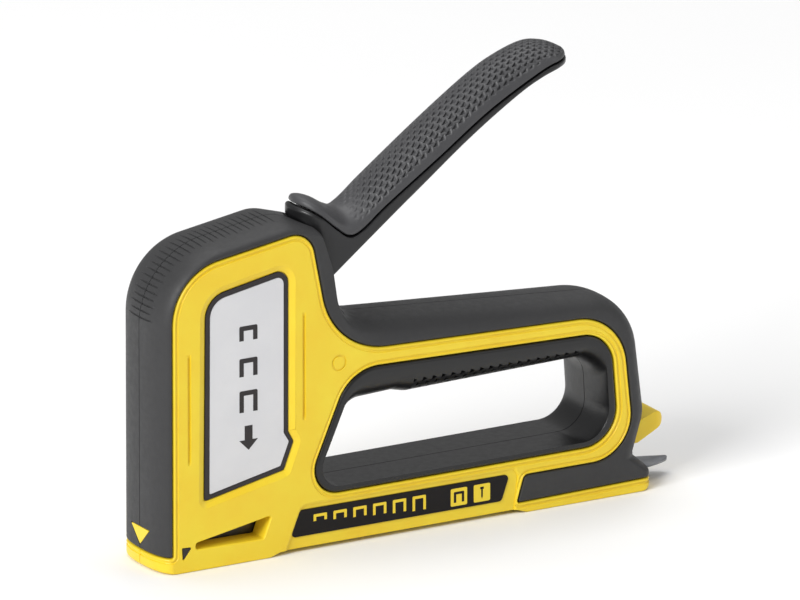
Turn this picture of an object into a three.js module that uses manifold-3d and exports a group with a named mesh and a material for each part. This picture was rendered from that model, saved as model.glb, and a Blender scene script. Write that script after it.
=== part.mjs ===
// Hand staple gun with a two-colour body, a squeeze lever and a rear-loading magazine.
// Millimetres, +Z up. Y = 0 is the split between the body halves (left half at -Y) and Z = 0 is
// the plane that the nose and the foot rest on. The pieces are drawn with X = 0 at the nose,
// and the finished group moves forward so that its origin is in the middle of its length.
import * as THREE from 'three';
import { mergeVertices } from 'three/addons/utils/BufferGeometryUtils.js';
import Module from 'manifold-3d';

const wasm = await Module();
wasm.setup();

// ---------------------------------------------------------------- driving dimensions
const GAP = 0.3;                   // clearance between touching pieces
const HALF_WIDTH = 15;             // body, from the split to its side
const WALL = 2.6;                  // moulded wall
const INNER_HALF = HALF_WIDTH - WALL;
const SPLIT = GAP / 2;
const FAR = 230;                   // beyond every piece, for cutters
const MID_LENGTH = 102.8;          // half of the overall length

const BASE_TOP = 16;               // roof of the magazine bay
const BASE_FLOOR = 1.9;
const FRONT_WALL = 6.6;            // inner face of the front wall

const PIVOT = { x: 53, z: 99, pin: 3, hub: 8 };
const LIFT = { x: 30, z: 80, tip: 3 };        // where the lift arms push the plunger
const LEVER_HALF = 11.5;
const SLOT_HALF = INNER_HALF;
const NOSE_CENTRE = 69.6;          // plan centre of the lever's round front
const TIP_CENTRE = 152.8;          // plan centre of the lever's round tip
const TIP_REACH = 11;

const ROD_Z = 8.5;                 // height of the pusher rod
const PUSHER = { x0: 12, x1: 26 };
const SCREWS = [[46, 22.5], [12.6, 95], [62.5, 56], [80, 64.7], [174.2, 57]];

// ---------------------------------------------------------------- outlines, [x, z, radius]
// Body outline on the centre plane, counter-clockwise from the nose.
const BODY_CENTRE = [
  [0, 0, 0.8], [42, 0, 0], [46, 1.3, 0], [138, 1.3, 0], [142, 0, 0], [193.4, 0, 1.2],
  [193.4, 6.6, 2.5], [187.2, 12.2, 1.5], [191.9, 26.5, 12], [186.5, 69.1, 20],
  [70.3, 78.2, 16], [67.2, 97, 5], [62.8, 112, 3], [50, 116.2, 18], [0, 108.6, 28],
];
// The same corners where the body meets its flat sides.
const BODY_SIDE = [
  [4.8, 0, 0.8], [42, 0, 0], [46, 1.3, 0], [138, 1.3, 0], [142, 0, 0], [188.5, 0, 1.2],
  [188.5, 6.2, 2.5], [180, 12.4, 1.5], [184.1, 28, 12], [179.8, 65, 19.8],
  [70.8, 69, 22], [66.6, 97, 5], [62.3, 110.2, 3], [50.5, 112.8, 8], [4.8, 105.6, 21],
];
// Edge of the yellow shell. It runs past the body at the nose, the sole and the foot.
const YELLOW_EDGE = [
  [-3, -3, 0], [200, -3, 0], [200, 4.35, 0], [138.2, 3.4, 1], [141.2, 13.2, 2],
  [184.8, 13.2, 15.2], [179.3, 64.2, 19.6], [66.8, 67.9, 26], [57.8, 112.9, 8.3],
  [4.8, 104.7, 20.6], [4.8, 5.5, 0.5], [-3, 5.5, 0],
];
// Where the yellow shell meets the black liner round the hand hole.
const LINER_EDGE = [[73.3, 61.5, 16.5], [54.6, 18.5, 9.3], [178.6, 18.6, 13], [175.4, 58.7, 12.5]];
// The hand hole itself: low rounded roof on the centre plane, wider at the sides.
const HOLE_CENTRE = [[69.9, 46.4, 9], [58.6, 21, 7], [174, 21, 10.5], [172.3, 48.9, 9]];
const HOLE_SIDE = [[75.2, 58.8, 14], [58.6, 21, 7], [175.4, 21, 10.8], [172.9, 56.3, 10]];
// Hollow of the tower, and the pocket that the lever's hub swings in.
const TOWER_BAY = [
  [FRONT_WALL, BASE_FLOOR, 0], [50, BASE_FLOOR, 0], [51, 16, 2], [57.6, 32, 0],
  [66.1, 51.5, 5], [60.5, 88, 0], [56, 109.4, 6], [FRONT_WALL, 101.9, 18],
];
const LEVER_POCKET = [
  [50, 84, 0], [60, 76.6, 2], [73.6, 80, 0], [66.2, 90, 2], [64.6, 97, 2],
  [60.6, 108.8, 2], [50, 112, 0],
];
const LEVER_MOUTH = [[48, 84, 0], [60, 76.6, 0], [74.4, 80, 2], [92, 88, 0], [92, 130, 0], [48, 130, 0]];
// Side windows and trims.
const WINDOW = [[13.4, 7.4, 1], [39.5, 7.1, 0.4], [42.5, 14.7, 0.4], [13.4, 9.6, 1]];
const LABEL_FRAME = [
  [17, 23.8, 0.6], [47.6, 30, 0.8], [51.3, 39.5, 0.8], [49.3, 43.2, 2], [49.4, 100.7, 4],
  [17.7, 94.9, 9],
];
const LABEL_PLATE = [
  [19, 25.8, 0.5], [46.4, 31.5, 0.6], [49.7, 39.7, 0.6], [47.7, 43, 1.5], [47.8, 98.4, 2.4],
  [19.4, 93.3, 7],
];
const NAME_STRIP = [[50, 5.4, 1.4], [132.3, 5.2, 1.4], [135.5, 14.2, 1.4], [53.8, 14.6, 1.4]];
const SIDE_MARKER = [[8.1, 8.6, 0.2], [8.4, 4.4, 0.2], [11.5, 8.4, 0.2]];
const FRONT_MARKER = [[-6, 13.6, 0.3], [0, 7.5, 0.3], [6, 13.6, 0.3]];      // [y, z, radius]
const GROOVES = [[10.3, 11.5, 37.5, 76.5], [54.8, 55.8, 46.5, 84.5]];        // x0, x1, z0, z1
// Curves of the lever from its nose to its tip, [x, z].
const LEVER_UNDER = [
  [67.3, 92.2], [80, 102], [100, 117.3], [120, 132.7], [140, 146.2], [150, 151.3],
  [157, 153.3], [163.8, 153.8],
];
const LEVER_SEAM = [
  [58.1, 119.9], [60.5, 119.4], [65, 115.6], [70, 110.4], [75, 106.8], [80, 108],
  [90, 115.5], [110, 128.9], [130, 142.5], [150, 153.1], [157, 155.3], [163.8, 155.7],
];
const LEVER_LIP = [
  [58.1, 120.5], [60.5, 120.2], [65, 117.2], [70, 112.6], [75, 109.2], [80, 110.8],
  [90, 117.9], [110, 131.3], [130, 145], [150, 155.5], [157, 157.3], [163.8, 157.1],
];
const LEVER_CROWN = [
  [58.1, 120.9], [62, 121.4], [66, 119.9], [71, 116.6], [76, 115.2], [82, 118.4],
  [90, 125], [110, 140.1], [130, 153.4], [140, 158.4], [150, 161.2], [158, 160.2],
  [163.8, 157.4],
];

// ---------------------------------------------------------------- materials
const material = (name, color, roughness, metalness = 0) =>
  new THREE.MeshStandardMaterial({ name, color, roughness, metalness });
const yellow = material('yellow plastic', '#f0d23f', 0.45);
const rubber = material('black rubber', '#3f3f41', 0.8);
const blackPlastic = material('black plastic', '#2c2c2e', 0.5);
const labelGrey = material('label', '#e3e3e3', 0.35);
const steel = material('steel', '#9a9c9e', 0.35, 1);
const springSteel = material('spring steel', '#7d8084', 0.4, 1);

// ---------------------------------------------------------------- shape helpers
const arcSteps = (radius) => (radius === 0 ? 0 : Math.min(8, 2 + Math.round(radius / 3)));

// Points of a closed outline whose corners are rounded by arcs.
function roundedOutline(corners, steps = corners.map(([, , radius]) => arcSteps(radius))) {
  const count = corners.length;
  return corners.flatMap(([x, z, radius], i) => {
    const corner = new THREE.Vector2(x, z);
    if (steps[i] === 0) return [corner];
    const before = new THREE.Vector2(...corners[(i + count - 1) % count]).sub(corner).normalize();
    const after = new THREE.Vector2(...corners[(i + 1) % count]).sub(corner).normalize();
    const half = Math.acos(THREE.MathUtils.clamp(before.dot(after), -1, 1)) / 2;
    const centre = before.clone().add(after).setLength(radius / Math.sin(half)).add(corner);
    const start = before.clone().multiplyScalar(radius / Math.tan(half)).add(corner).sub(centre);
    const end = after.clone().multiplyScalar(radius / Math.tan(half)).add(corner).sub(centre);
    const sweep = Math.atan2(start.cross(end), start.dot(end));
    return Array.from({ length: steps[i] + 1 }, (_, k) =>
      start.clone().rotateAround(new THREE.Vector2(), (sweep * k) / steps[i]).add(centre));
  });
}

// A smooth curve z(x) through a few points.
function heightCurve(points) {
  const curve = new THREE.SplineCurve(points.map(([x, z]) => new THREE.Vector2(x, z)));
  const dense = curve.getPoints(points.length * 24);
  return (x) => {
    const i = Math.max(1, dense.findIndex((p) => p.x >= x));
    if (x >= dense[dense.length - 1].x) return dense[dense.length - 1].y;
    const [a, b] = [dense[i - 1], dense[i]];
    return THREE.MathUtils.mapLinear(x, a.x, b.x, a.y, b.y);
  };
}

// A manifold from a three.js geometry, and the other way round.
function solid(geometry) {
  const bare = geometry.clone();
  bare.deleteAttribute('normal');
  bare.deleteAttribute('uv');
  const merged = mergeVertices(bare, 1e-4);
  return new wasm.Manifold(new wasm.Mesh({
    numProp: 3,
    vertProperties: new Float32Array(merged.attributes.position.array),
    triVerts: new Uint32Array(merged.index.array),
  }));
}
function toGeometry(manifold) {
  const { vertProperties, triVerts, numProp } = manifold.getMesh();
  const geometry = new THREE.BufferGeometry();
  const positions = new Float32Array((vertProperties.length / numProp) * 3);
  for (let i = 0; i < positions.length / 3; i += 1) {
    positions.set(vertProperties.subarray(i * numProp, i * numProp + 3), i * 3);
  }
  geometry.setAttribute('position', new THREE.BufferAttribute(positions, 3));
  geometry.setIndex(new THREE.BufferAttribute(new Uint32Array(triVerts), 1));
  geometry.computeVertexNormals();
  return geometry;
}
const join = (first, ...others) => others.reduce((whole, next) => whole.add(next), first);
const cut = (first, ...others) => others.reduce((whole, next) => whole.subtract(next), first);

function box(x0, x1, y0, y1, z0, z1) {
  const geometry = new THREE.BoxGeometry(x1 - x0, y1 - y0, z1 - z0);
  geometry.translate((x0 + x1) / 2, (y0 + y1) / 2, (z0 + z1) / 2);
  return solid(geometry);
}
const twoSided = (x0, x1, y0, y1, z0, z1) =>
  box(x0, x1, y0, y1, z0, z1).add(box(x0, x1, -y1, -y0, z0, z1));

const extrude = (points, depth) =>
  new THREE.ExtrudeGeometry(new THREE.Shape(points), { depth, bevelEnabled: false });

// An outline in X and Z as a plate between two values of Y.
function plate(corners, y0, y1) {
  const geometry = extrude(roundedOutline(corners), y1 - y0);
  geometry.rotateX(Math.PI / 2);
  geometry.translate(0, y1, 0);
  return solid(geometry);
}
// An outline in X and Y as a column between two values of Z.
function column(corners, z0, z1) {
  const geometry = extrude(roundedOutline(corners), z1 - z0);
  geometry.translate(0, 0, z0);
  return solid(geometry);
}
// An outline in Y and Z as a bar between two values of X.
function bar(corners, x0, x1) {
  const geometry = extrude(roundedOutline(corners), x1 - x0);
  geometry.applyMatrix4(new THREE.Matrix4().set(0, 0, 1, x0, 1, 0, 0, 0, 0, 1, 0, 0, 0, 0, 0, 1));
  return solid(geometry);
}
function pinAlongY(x, z, radius, y0, y1, sides = 20) {
  const geometry = new THREE.CylinderGeometry(radius, radius, y1 - y0, sides);
  geometry.translate(x, (y0 + y1) / 2, z);
  return solid(geometry);
}
function pinAlongX(y, z, radius, x0, x1, sides = 16) {
  const geometry = new THREE.CylinderGeometry(radius, radius, x1 - x0, sides);
  geometry.rotateZ(Math.PI / 2);
  geometry.translate((x0 + x1) / 2, y, z);
  return solid(geometry);
}

// A closed skin over rings of equal length. Each ring is a list of Vector3, and the rings run
// so that the fan on the first one and the fan on the last one close the ends.
function skin(rings) {
  const size = rings[0].length;
  const positions = rings.flat().flatMap((p) => [p.x, p.y, p.z]);
  const index = [];
  for (let r = 0; r < rings.length - 1; r += 1) {
    for (let i = 0; i < size; i += 1) {
      const a = r * size + i;
      const b = r * size + ((i + 1) % size);
      index.push(a, b, b + size, a, b + size, a + size);
    }
  }
  const flat = (ring, u, v) => ring.map((p) => new THREE.Vector2(p[u], p[v]));
  const alongX = Math.abs(rings[0][0].x - rings[0][2].x) < 1e-9;
  const [u, v] = alongX ? ['y', 'z'] : ['x', 'z'];
  const last = (rings.length - 1) * size;
  for (const [ring, offset, flip] of [[rings[0], 0, true], [rings.at(-1), last, false]]) {
    for (const [a, b, c] of THREE.ShapeUtils.triangulateShape(flat(ring, u, v), [])) {
      index.push(offset + a, ...(flip ? [offset + c, offset + b] : [offset + b, offset + c]));
    }
  }
  const geometry = new THREE.BufferGeometry();
  geometry.setAttribute('position', new THREE.Float32BufferAttribute(positions, 3));
  geometry.setIndex(index);
  const body = solid(geometry);
  return body.volume() > 0 ? body : solid(geometry.setIndex(index.reverse()));
}

// A body that is full on the centre plane and eases over to its side outline.
const easing = (y) => 1 - Math.sqrt(1 - Math.min(1, Math.abs(y) / HALF_WIDTH) ** 2.5);
const STATIONS = [0, 7.5, 10.5, 12.8, 14.3, 15];
function easedBody(centreCorners, sideCorners, reach = HALF_WIDTH) {
  const steps = centreCorners.map(([, , radius]) => arcSteps(radius));
  const centre = roundedOutline(centreCorners, steps);
  const side = roundedOutline(sideCorners, steps);
  const stations = reach > HALF_WIDTH ? [...STATIONS, reach] : STATIONS;
  const across = [...stations.slice(1).reverse().map((y) => -y), ...stations];
  return skin(across.map((y) => centre.map((point, i) => {
    const { x, y: z } = point.clone().lerp(side[i], easing(y));
    return new THREE.Vector3(x, y, z);
  })));
}

// Wire wound round an axis along +Z, then turned and placed.
class Helix extends THREE.Curve {
  constructor(radius, length, turns) {
    super();
    Object.assign(this, { radius, length, turns });
  }
  getPoint(t, target = new THREE.Vector3()) {
    const angle = 2 * Math.PI * this.turns * t;
    return target.set(this.radius * Math.cos(angle), this.radius * Math.sin(angle), this.length * t);
  }
}
function coil({ radius, wire, length, turns, sides, perTurn }) {
  const ring = new THREE.Shape(Array.from({ length: sides }, (_, i) => {
    const angle = (2 * Math.PI * i) / sides;
    return new THREE.Vector2(wire * Math.cos(angle), wire * Math.sin(angle));
  }));
  return new THREE.ExtrudeGeometry(ring, {
    steps: turns * perTurn,
    extrudePath: new Helix(radius, length - 2 * wire, turns),
    bevelEnabled: false,
  });
}

const gun = new THREE.Group();
function add(name, shape, look) {
  const geometry = shape instanceof THREE.BufferGeometry ? shape : toGeometry(shape);
  const mesh = new THREE.Mesh(geometry, look);
  mesh.name = name;
  gun.add(mesh);
  return mesh;
}

// ---------------------------------------------------------------- body halves
const body = easedBody(BODY_CENTRE, BODY_SIDE);
const yellowRegion = plate(YELLOW_EDGE, -20, 20);
const linerRegion = plate(LINER_EDGE, -20, 20);
// Outline moved along its own normals: positive values make it bigger.
function offsetPlate(corners, by, y0, y1) {
  const points = roundedOutline(corners);
  const moved = points.map((p, i) => {
    const prev = points[(i + points.length - 1) % points.length];
    const next = points[(i + 1) % points.length];
    const a = p.clone().sub(prev).normalize();
    const b = next.clone().sub(p).normalize();
    const normal = new THREE.Vector2(a.y + b.y, -a.x - b.x).normalize();
    const stretch = 1 / Math.max(0.5, normal.dot(new THREE.Vector2(b.y, -b.x)));
    return p.clone().addScaledVector(normal, by * stretch);
  });
  const geometry = extrude(moved, y1 - y0);
  geometry.rotateX(Math.PI / 2);
  geometry.translate(0, y1, 0);
  return solid(geometry);
}

const towerBay = plate(TOWER_BAY, -INNER_HALF, INNER_HALF);
const magazineBay = box(FRONT_WALL, 176.2, -INNER_HALF, INNER_HALF, BASE_FLOOR, BASE_TOP);
const soleOpening = box(FRONT_WALL, 176.2, -7.2, 7.2, -2, 3);
const rearOpening = join(
  box(174, FAR, -6.6, 6.6, 3.9, 7),
  box(174, FAR, -8.7, 8.7, 6.1, 24.8),
);
const leverPocket = plate(LEVER_POCKET, -SLOT_HALF, SLOT_HALF);
const mouthPlan = [
  [NOSE_CENTRE - SLOT_HALF, -SLOT_HALF, SLOT_HALF - 0.01], [120, -SLOT_HALF, 0],
  [120, SLOT_HALF, 0], [NOSE_CENTRE - SLOT_HALF, SLOT_HALF, SLOT_HALF - 0.01],
];
const leverMouth = plate(LEVER_MOUTH, -SLOT_HALF, SLOT_HALF).intersect(column(mouthPlan, 60, 140));
const pivotBore = pinAlongY(PIVOT.x, PIVOT.z, PIVOT.pin + GAP, -13.7, 13.7, 24);
const bays = join(towerBay, magazineBay, soleOpening, rearOpening, leverPocket, leverMouth);

const bosses = SCREWS.map(([x, z]) => pinAlongY(x, z, 3.6, -INNER_HALF - 1, INNER_HALF + 1, 16));
const bumperShelf = box(11, 34, -INNER_HALF - 1, INNER_HALF + 1, 41, 43.7);
const springRib = box(17.6, 30.6, -6.8, 6.8, 102.6, 107);
const screwBores = SCREWS.flatMap(([x, z]) => [
  pinAlongY(x, z, 1.7, -11, 12.5, 12),
  pinAlongY(x, z, 3.4, 12.3, 20, 20),
]);
const sidePockets = [LABEL_FRAME, NAME_STRIP, SIDE_MARKER].flatMap((corners) => [
  offsetPlate(corners, GAP, 14.1, 20),
  offsetPlate(corners, GAP, -20, -14.1),
]);
const grooves = GROOVES.flatMap(([x0, x1, z0, z1]) => [
  box(x0, x1, 14.2, 20, z0, z1),
  box(x0, x1, -20, -14.2, z0, z1),
]);
const windows = plate(WINDOW, -20, 20);

function addHalves(name, whole, look) {
  add(`left_${name}`, whole.intersect(box(-FAR, FAR, -40, -SPLIT, -40, FAR)), look);
  add(`right_${name}`, whole.intersect(box(-FAR, FAR, SPLIT, 40, -40, FAR)), look);
}

function shells() {
  const outer = body.intersect(yellowRegion).subtract(linerRegion);
  const hollow = cut(outer, bays);
  const inner = outer.intersect(join(bumperShelf, springRib, ...bosses));
  return cut(join(hollow, inner), pivotBore, windows, ...screwBores, ...sidePockets, ...grooves);
}

function overmoulds() {
  const outer = cut(body, offsetPlate(YELLOW_EDGE, GAP, -20, 20));
  const marker = bar(FRONT_MARKER.map(([y, z, r]) => [y * 1.1, 10.9 + (z - 10.9) * 1.12, r]), -2, 1.3);
  return cut(outer, bays, pivotBore, marker, linerRegion, ...screwBores);
}

function holeLiners() {
  const region = offsetPlate(LINER_EDGE, -GAP, -20, 20);
  return cut(body.intersect(region), easedBody(HOLE_CENTRE, HOLE_SIDE, 18), ...screwBores);
}

addHalves('shell', shells(), yellow);
addHalves('overmould', overmoulds(), rubber);
addHalves('hole_liner', holeLiners(), rubber);

// ---------------------------------------------------------------- trims on the sides and the front
for (const [side, y0, y1] of [['left', -14.95, -14.4], ['right', 14.4, 14.95]]) {
  const opening = offsetPlate(LABEL_PLATE, GAP, -20, 20);
  add(`${side}_label_frame`, plate(LABEL_FRAME, y0, y1).subtract(opening), blackPlastic);
  add(`${side}_label_plate`, plate(LABEL_PLATE, y0, y1), labelGrey);
  add(`${side}_name_strip`, plate(NAME_STRIP, y0, y1), blackPlastic);
  add(`${side}_marker`, plate(SIDE_MARKER, y0, y1), blackPlastic);
}
add('front_marker', bar(FRONT_MARKER, 0.1, 1), yellow);

for (const [i, [x, z]] of SCREWS.entries()) {
  const screw = join(pinAlongY(x, z, 1.4, -10.6, 13, 10), pinAlongY(x, z, 3.1, 12.8, 14.6, 20));
  const recess = join(
    box(x - 1.8, x + 1.8, 13.6, 16, z - 0.4, z + 0.4),
    box(x - 0.4, x + 0.4, 13.6, 16, z - 1.8, z + 1.8),
  );
  add(`body_screw_${i + 1}`, cut(screw, recess), steel);
}

// ---------------------------------------------------------------- striking mechanism
function nosePlate() {
  return join(box(6.9, 8.1, -7.1, 7.1, 0.4, 40), twoSided(7.5, 9.6, 6.3, 7.1, 0.4, 40));
}
function driverBlade() {
  return cut(box(8.4, 9.6, -6, 6, 0.9, 60.5), pinAlongX(0, 56, 1.8, 0, 20));
}
function plunger() {
  const foot = join(box(12.5, 30.4, -8.4, 8.4, 50, 56), box(9.9, 13, -6, 6, 50, 60));
  const hookTop = 85.6;
  const cheeks = twoSided(20, 30.4, 7, 8.4, 55, hookTop);
  const hooks = twoSided(21, 29, 8, 11.2, LIFT.z + LIFT.tip + 2 * GAP, hookTop);
  return join(foot, cheeks, hooks, pinAlongX(0, 56, 1.5, 8.4, 10.5));
}
function liftArm(y0, y1) {
  const [dx, dz] = [PIVOT.x - LIFT.x, PIVOT.z - LIFT.z];
  const reach = Math.hypot(dx, dz);
  const [nx, nz] = [-dz / reach, dx / reach];
  const side = (x, z, r, s) => [x + s * nx * r, z + s * nz * r, 0];
  const [tipHalf, rootHalf] = [1.8, 3.6];
  const web = [side(LIFT.x, LIFT.z, tipHalf, 1), side(LIFT.x, LIFT.z, tipHalf, -1),
    side(PIVOT.x, PIVOT.z, rootHalf, -1), side(PIVOT.x, PIVOT.z, rootHalf, 1)];
  const tail = [[PIVOT.x, PIVOT.z - 4, 0], [61, 98, 1.5], [61, 104.5, 1.5], [PIVOT.x, PIVOT.z + 4, 0]];
  const shape = join(
    plate(web, y0, y1),
    plate(tail, y0, y1),
    pinAlongY(LIFT.x, LIFT.z, LIFT.tip, y0, y1, 16),
    pinAlongY(PIVOT.x, PIVOT.z, 6.6, y0, y1, 24),
  );
  return cut(shape, pinAlongY(PIVOT.x, PIVOT.z, PIVOT.pin + GAP, -20, 20, 24));
}

add('nose_plate', nosePlate(), steel);
add('driver_blade', driverBlade(), steel);
add('plunger', plunger(), steel);
add('left_lift_arm', liftArm(-10.8, -8.8), steel);
add('right_lift_arm', liftArm(8.8, 10.8), steel);
add('bumper', box(13, 30, -8, 8, 44, 49.7), rubber);
add('spring_cap', join(box(17.8, 30.4, -6.6, 6.6, 100.4, 102.3)), steel);

const driveSpring = coil({ radius: 5.3, wire: 1, length: 43.6, turns: 8, sides: 6, perTurn: 12 });
driveSpring.translate(24.2, 0, 57.4);
add('drive_spring', driveSpring, springSteel);

// ---------------------------------------------------------------- lever
const under = heightCurve(LEVER_UNDER);
const seam = heightCurve(LEVER_SEAM);
const lip = heightCurve(LEVER_LIP);
const crown = heightCurve(LEVER_CROWN);

// Half width of the lever in plan: round nose, straight sides, round tip.
function leverHalf(x) {
  if (x < NOSE_CENTRE) return Math.sqrt(LEVER_HALF ** 2 - (NOSE_CENTRE - x) ** 2);
  if (x > TIP_CENTRE) return LEVER_HALF * Math.sqrt(1 - ((x - TIP_CENTRE) / TIP_REACH) ** 2);
  return LEVER_HALF;
}
const NOSE_X = NOSE_CENTRE - LEVER_HALF;
// Closer together where the plan is round.
function leverStations() {
  const nose = [0.02, 0.12, 0.35, 0.7].map((t) => NOSE_X + t * LEVER_HALF);
  const grip = Array.from({ length: 19 }, (_, i) => NOSE_CENTRE + (i * (TIP_CENTRE - NOSE_CENTRE)) / 18);
  const tip = [0.35, 0.65, 0.86, 0.96, 0.995].map((t) => TIP_CENTRE + t * TIP_REACH);
  return [...nose, ...grip, ...tip];
}
function leverGrip() {
  const across = [-1, -0.9, -0.7, -0.4, 0, 0.4, 0.7, 0.9, 1];
  return skin(leverStations().map((x) => {
    const half = leverHalf(x);
    const dome = across.map((t) =>
      new THREE.Vector3(x, -t * half, lip(x) + (crown(x) - lip(x)) * (1 - t * t) ** 0.8));
    const floor = seam(x) + GAP;
    return [new THREE.Vector3(x, -half, floor), new THREE.Vector3(x, half, floor), ...dome];
  }));
}
function leverCore() {
  const top = leverStations().map((x) => [x, seam(x), 0]);
  const bottom = leverStations().filter((x) => x > 70).reverse().map((x) => [x, under(x), 0]);
  const profile = [...top, ...bottom, [67.3, 92.2, 0], [PIVOT.x, PIVOT.z - PIVOT.hub, 0],
    [PIVOT.x - PIVOT.hub, PIVOT.z + 1, 0], [58.1, 113.4, 0]];
  const plan = [
    ...leverStations().map((x) => [x, -leverHalf(x), 0]),
    ...leverStations().reverse().map((x) => [x, leverHalf(x), 0]),
  ];
  const shape = plate(profile.reverse(), -LEVER_HALF, LEVER_HALF);
  const hub = pinAlongY(PIVOT.x, PIVOT.z, PIVOT.hub, -8.5, 8.5, 28);
  const upper = shape.intersect(column(plan, 80, 170));
  const lower = shape.intersect(box(40, 70, -8.5, 8.5, 80, 107));
  const armPockets = twoSided(40, 63.3, 8.5, 13, 80, 106.3);
  return cut(join(cut(upper, armPockets), lower, hub),
    pinAlongY(PIVOT.x, PIVOT.z, PIVOT.pin + GAP, -20, 20, 24));
}
add('lever_core', leverCore(), blackPlastic);
add('lever_grip', leverGrip(), rubber);
add('lever_pivot_pin', pinAlongY(PIVOT.x, PIVOT.z, PIVOT.pin, -13.4, 13.4, 24), steel);

// ---------------------------------------------------------------- magazine
function magazineChannel() {
  return cut(box(9.9, 175.9, -6.6, 6.6, 1.6, 14.6), box(0, FAR, -5.7, 5.7, 2.5, 20));
}
function stapleRail() {
  return cut(
    box(11.5, 173, -4.3, 4.3, 3.2, 13.2),
    box(0, FAR, -3.3, 3.3, 0, 12.2),
    box(14, 171, -0.9, 0.9, 10, 20),
  );
}
// Saddle over the rail, with a web through the slot to a carrier on the rod.
function staplePusher() {
  const { x0, x1 } = PUSHER;
  const saddle = cut(box(x0, x1, -5.4, 5.4, 7.5, 14.5), box(0, FAR, -4.6, 4.6, 0, 13.5));
  const carrier = box(x0 + 3, x1, -3, 3, 6.1, 11.6);
  const web = box(x0 + 3, x1, -0.6, 0.6, 11, 14);
  return cut(join(saddle, carrier, web), pinAlongX(0, ROD_Z, 1.6, 0, FAR));
}
function rearCap() {
  const block = join(
    plate([[177.5, 6.5, 0.5], [187.4, 6.5, 1], [187.4, 14, 1], [177.5, 14, 0.5]], -8.3, 8.3),
    plate([[178.6, 13, 0], [184.4, 13, 0], [184.4, 20, 2], [178.6, 20, 2]], -2.4, 2.4),
  );
  return cut(block, pinAlongX(0, ROD_Z, 1.6, 170, 184), pinAlongY(181.4, 17.2, 1.5, -9, 9, 12));
}
function magazineLatch() {
  const side = [
    [178.4, 14.9, 1.2], [189.7, 14.9, 1], [199.4, 20.2, 1.4], [198.4, 25.8, 1.6],
    [188.5, 22, 3], [178.4, 20.4, 1.6],
  ];
  return cut(plate(side, -8, 8), box(170, 185, -2.7, 2.7, 10, 30), pinAlongY(181.4, 17.2, 1.5, -9, 9, 12));
}
function stapleLifter() {
  const plan = [[176.6, -6.2, 0.5], [192, -6.2, 3], [205.6, -2.6, 2.6], [205.6, 2.6, 2.6],
    [192, 6.2, 3], [176.6, 6.2, 0.5]];
  return column(plan, 4.2, 5.7);
}

add('magazine_channel', magazineChannel(), steel);
add('staple_rail', stapleRail(), steel);
add('staple_pusher', staplePusher(), steel);
add('pusher_rod', pinAlongX(0, ROD_Z, 1.3, PUSHER.x0 - 0.2, 183.6), steel);
const pusherSpring = coil({ radius: 2.3, wire: 0.45, length: 150.4, turns: 22, sides: 5, perTurn: 7 });
pusherSpring.rotateY(Math.PI / 2);
pusherSpring.translate(PUSHER.x1 + 0.8, 0, ROD_Z);
add('pusher_spring', pusherSpring, springSteel);
add('rear_cap', rearCap(), blackPlastic);
add('magazine_latch', magazineLatch(), yellow);
add('latch_pin', pinAlongY(181.4, 17.2, 1.2, -7.8, 7.8, 12), steel);
add('staple_lifter', stapleLifter(), steel);

gun.position.x = -MID_LENGTH;
export default gun;
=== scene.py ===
import math

import bmesh
import bpy
import numpy as np
from mathutils import Matrix, Vector
from mathutils.bvhtree import BVHTree


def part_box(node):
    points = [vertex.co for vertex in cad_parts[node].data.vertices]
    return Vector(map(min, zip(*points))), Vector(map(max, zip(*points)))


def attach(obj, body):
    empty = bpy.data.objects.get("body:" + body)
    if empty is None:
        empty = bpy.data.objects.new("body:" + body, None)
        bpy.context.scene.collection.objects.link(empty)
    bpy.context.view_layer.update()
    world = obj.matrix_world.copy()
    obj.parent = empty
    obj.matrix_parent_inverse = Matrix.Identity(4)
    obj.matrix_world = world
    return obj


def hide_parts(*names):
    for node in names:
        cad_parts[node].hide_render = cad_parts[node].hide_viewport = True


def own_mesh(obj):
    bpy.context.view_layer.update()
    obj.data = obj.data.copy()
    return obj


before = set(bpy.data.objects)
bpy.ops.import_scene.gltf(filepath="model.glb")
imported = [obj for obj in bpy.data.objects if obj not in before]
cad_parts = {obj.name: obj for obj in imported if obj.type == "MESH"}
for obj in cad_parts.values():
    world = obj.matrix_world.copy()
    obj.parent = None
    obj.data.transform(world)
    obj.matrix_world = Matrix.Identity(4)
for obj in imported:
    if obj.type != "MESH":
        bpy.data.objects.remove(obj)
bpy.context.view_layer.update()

# A hand staple gun. The pieces are drawn in millimetres with X = 0 at the nose, Y = 0 at the
# split between the body halves and Z = 0 at the sole, then moved into the frame in metres.
NOSE_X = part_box("left_overmould")[0].x
MM = 0.001
TO_FRAME = Matrix.Translation((NOSE_X, 0, 0)) @ Matrix.Scale(MM, 4)

# ---------------------------------------------------------------- driving dimensions
GAP = 0.3                 # clearance between touching pieces
HALF_WIDTH = 15.0         # body, from the split to its flat side
INNER_HALF = 12.4         # inside of the moulded wall, and the lever's slot
SPLIT = GAP / 2
ROLL_POWER = 2.5          # how late the body eases from full width to its side outline
PIVOT_X, PIVOT_Z, PIN, HUB = 53.0, 99.0, 3.0, 8.0
LEVER_HALF = 11.5
NOSE_CENTRE, TIP_CENTRE, TIP_REACH = 69.6, 152.8, 11.0
GRIP_INSET, GRIP_GROOVE = 0.35, 0.6       # the lever's pad, from the frame under it
NOSE_STEP = 2.8                           # how far the pad's nose stays back, per inset
PIT_ROW, PIT_PITCH, PIT_DEPTH, PIT_SLOPE = 2.0, 3.0, 0.95, 1.22
SCREWS = [(46, 22.5), (12.6, 95), (62.5, 56), (80, 64.7), (174.2, 57)]

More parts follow.
